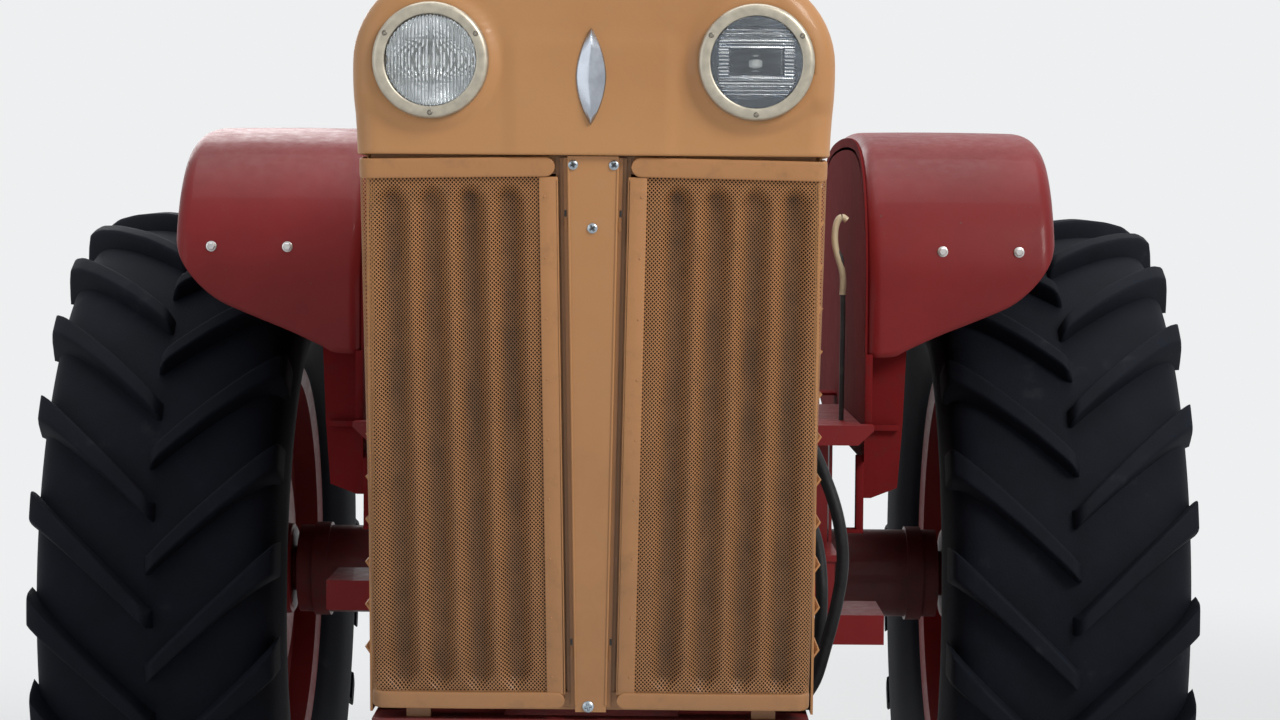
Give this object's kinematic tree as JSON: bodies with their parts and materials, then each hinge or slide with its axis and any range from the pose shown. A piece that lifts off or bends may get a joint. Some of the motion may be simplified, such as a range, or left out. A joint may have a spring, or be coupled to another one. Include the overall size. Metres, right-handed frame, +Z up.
{
  "type": "farm tractor",
  "caption": "Standard-tread farm tractor with a perforated grille in two hinged panels, sunk headlamps, broad fenders, lugged rear tyres and working steering.",
  "frame": {"origin": "middle of the footprint on the floor", "axes": "+Y from the nose to the drawbar, +X to the driver's left, +Z up; the front looks along -Y"},
  "size_m": [2.304, 3.55, 2.45],
  "materials": {
    "red_paint": "gloss",
    "sand_paint": "satin",
    "black_paint": "satin",
    "cast_parts": "rough",
    "steel": "satin",
    "chrome": "polished",
    "lens_glass": "clear, fluted",
    "tyre_rubber": "matt",
    "hose_rubber": "satin",
    "seat_vinyl": "satin",
    "wheel_plastic": "gloss"
  },
  "bodies": {
    "chassis": {"front_frame": "red_paint", "engine_block": "red_paint", "engine_head": "red_paint", "engine_fittings": "cast_parts", "radiator": "black_paint", "transmission_housing": "red_paint", "rear_axle_housing": "red_paint", "hood": "sand_paint", "nose": "sand_paint", "headlamps": "steel", "lamp_lenses": "lens_glass", "nose_ornament": "chrome", "grille_post": "sand_paint", "side_screens": "sand_paint", "fuel_tank": "black_paint", "dash_panel": "red_paint", "steering_column": "black_paint", "platform": "red_paint", "fenders": "red_paint", "seat_bracket": "black_paint", "seat_cushion": "seat_vinyl", "seat_back": "seat_vinyl", "controls": "black_paint", "exhaust": "black_paint", "air_intake": "black_paint", "drawbar": "red_paint", "steering_hoses": "hose_rubber", "front_axle": "red_paint"},
    "grille_panel_left": {"grille_panel_left": "sand_paint"},
    "grille_panel_right": {"grille_panel_right": "sand_paint"},
    "steering_arm": {"steering_arm": "red_paint"},
    "knuckle_left": {"knuckle_left": "red_paint"},
    "knuckle_right": {"knuckle_right": "red_paint"},
    "tie_rod_left": {"tie_rod_left": "red_paint"},
    "tie_rod_right": {"tie_rod_right": "red_paint"},
    "steering_wheel": {"steering_wheel": "wheel_plastic"},
    "front_wheel_left": {"front_wheel_left": "red_paint", "front_tyre_left": "tyre_rubber"},
    "front_wheel_right": {"front_wheel_right": "red_paint", "front_tyre_right": "tyre_rubber"},
    "rear_wheel_left": {"rear_wheel_left": "red_paint", "rear_tyre_left": "tyre_rubber"},
    "rear_wheel_right": {"rear_wheel_right": "red_paint", "rear_tyre_right": "tyre_rubber"},
    "pto_shaft": {"pto_shaft": "steel"}
  },
  "joints": [
    {"name": "steering_turn", "type": "hinge", "parent": "chassis", "child": "steering_arm", "pos_m": [0, -1.227, 0.69], "axis": [0, 0, 1], "range_deg": [-42, 42]},
    {"name": "knuckle_left_turn", "type": "hinge", "parent": "chassis", "child": "knuckle_left", "pos_m": [0.596, -1.335, 0.56], "axis": [0, 0, 1], "range_deg": [-42, 42]},
    {"name": "knuckle_right_turn", "type": "hinge", "parent": "chassis", "child": "knuckle_right", "pos_m": [-0.596, -1.335, 0.56], "axis": [0, 0, 1], "range_deg": [-42, 42]},
    {"name": "tie_rod_left_turn", "type": "hinge", "parent": "steering_arm", "child": "tie_rod_left", "pos_m": [0, -1.077, 0.698], "axis": [0, 0, 1], "range_deg": [-42, 42]},
    {"name": "tie_rod_right_turn", "type": "hinge", "parent": "steering_arm", "child": "tie_rod_right", "pos_m": [0, -1.077, 0.714], "axis": [0, 0, 1], "range_deg": [-42, 42]},
    {"name": "steering_wheel_turn", "type": "hinge", "parent": "chassis", "child": "steering_wheel", "pos_m": [0, 0.287, 1.6], "axis": [0, 0.8829, 0.4695], "range_deg": [-588, 588]},
    {"name": "grille_left_open", "type": "hinge", "parent": "chassis", "child": "grille_panel_left", "pos_m": [0.05, -1.67003, 1.65578], "axis": [-0.0175, 0.0871, -0.996], "range_deg": [0, 80]},
    {"name": "grille_right_open", "type": "hinge", "parent": "chassis", "child": "grille_panel_right", "pos_m": [-0.05, -1.67003, 1.65578], "axis": [-0.0175, -0.0871, 0.996], "range_deg": [0, 80]},
    {"name": "front_left_spin", "type": "hinge", "parent": "knuckle_left", "child": "front_wheel_left", "pos_m": [0.739, -1.335, 0.44], "axis": [1, 0, 0], "continuous": true},
    {"name": "rear_left_spin", "type": "hinge", "parent": "chassis", "child": "rear_wheel_left", "pos_m": [0.905, 0.975, 0.8], "axis": [1, 0, 0], "continuous": true},
    {"name": "front_right_spin", "type": "hinge", "parent": "knuckle_right", "child": "front_wheel_right", "pos_m": [-0.739, -1.335, 0.44], "axis": [1, 0, 0], "continuous": true},
    {"name": "rear_right_spin", "type": "hinge", "parent": "chassis", "child": "rear_wheel_right", "pos_m": [-0.905, 0.975, 0.8], "axis": [1, 0, 0], "continuous": true},
    {"name": "pto_spin", "type": "hinge", "parent": "chassis", "child": "pto_shaft", "pos_m": [0, 1.245, 0.73], "axis": [0, 1, 0], "continuous": true}
  ],
  "couplings": [
    {"joint": "knuckle_left_turn", "follows": "steering_turn", "ratio": 1},
    {"joint": "knuckle_right_turn", "follows": "steering_turn", "ratio": 1},
    {"joint": "tie_rod_left_turn", "follows": "steering_turn", "ratio": -1},
    {"joint": "tie_rod_right_turn", "follows": "steering_turn", "ratio": -1},
    {"joint": "steering_wheel_turn", "follows": "steering_turn", "ratio": 14}
  ]
}
